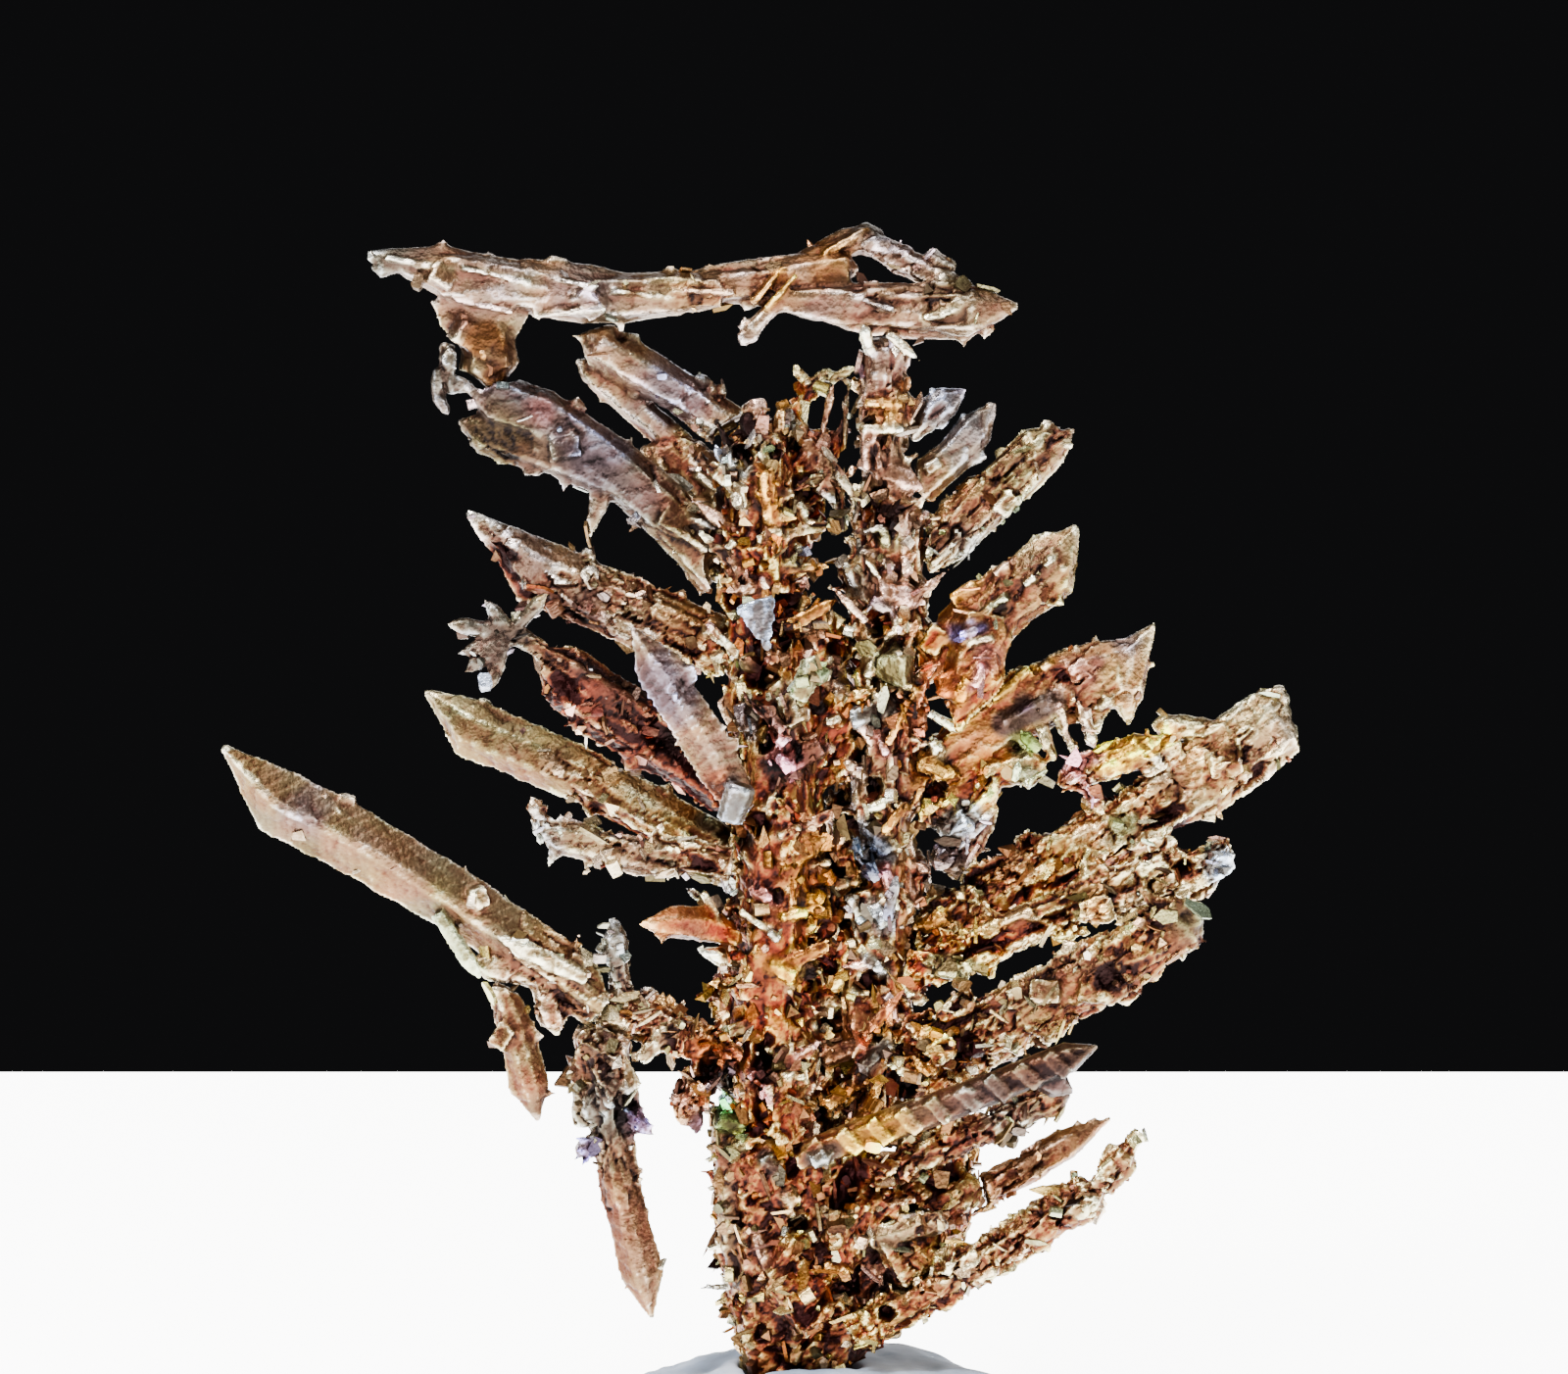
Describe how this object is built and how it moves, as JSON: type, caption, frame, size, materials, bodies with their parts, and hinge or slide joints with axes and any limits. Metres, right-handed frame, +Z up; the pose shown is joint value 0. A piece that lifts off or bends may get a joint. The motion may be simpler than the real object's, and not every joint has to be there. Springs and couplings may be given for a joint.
{
  "type": "native silver crystal specimen",
  "caption": "Branching native silver: blade-like crystals growing fern-like from upright stems, standing in a low mound of mounting putty.",
  "frame": {"origin": "centre of the putty mound's flat underside", "axes": "+Z up, -Y towards the front, the side with the widest face of the fan; +X to the right of someone looking at the front"},
  "size_m": [0.044, 0.0208, 0.0518],
  "materials": {
    "golden_silver": "satin",
    "brown_silver": "satin",
    "tan_silver": "satin",
    "rose_silver": "satin",
    "grey_silver": "satin",
    "lilac_silver": "satin",
    "putty": "matte"
  },
  "bodies": {
    "root": {"putty_mound": "putty", "root_mass": "brown_silver", "left_stem": "golden_silver", "right_stem": "brown_silver", "top_bar": "grey_silver", "upper_blade": "grey_silver", "hooked_blade": "lilac_silver", "left_spear": "rose_silver", "feather_arm": "rose_silver", "left_lance": "tan_silver", "leaf_blade": "lilac_silver", "thorn_twig": "tan_silver", "lens_crystal": "golden_silver", "left_fork": "rose_silver", "great_blade": "tan_silver", "drop_blade": "tan_silver", "hanging_blade": "rose_silver", "right_blade_1": "grey_silver", "right_blade_2": "grey_silver", "right_blade_3": "tan_silver", "forked_blade": "tan_silver", "jagged_blade": "rose_silver", "long_arm": "tan_silver", "lace_arm_upper": "tan_silver", "lace_arm_lower": "tan_silver", "low_blade": "rose_silver", "ribbed_bar": "tan_silver", "bar_below": "rose_silver", "thin_blade": "rose_silver", "lowest_blade": "tan_silver"}
  },
  "joints": []
}
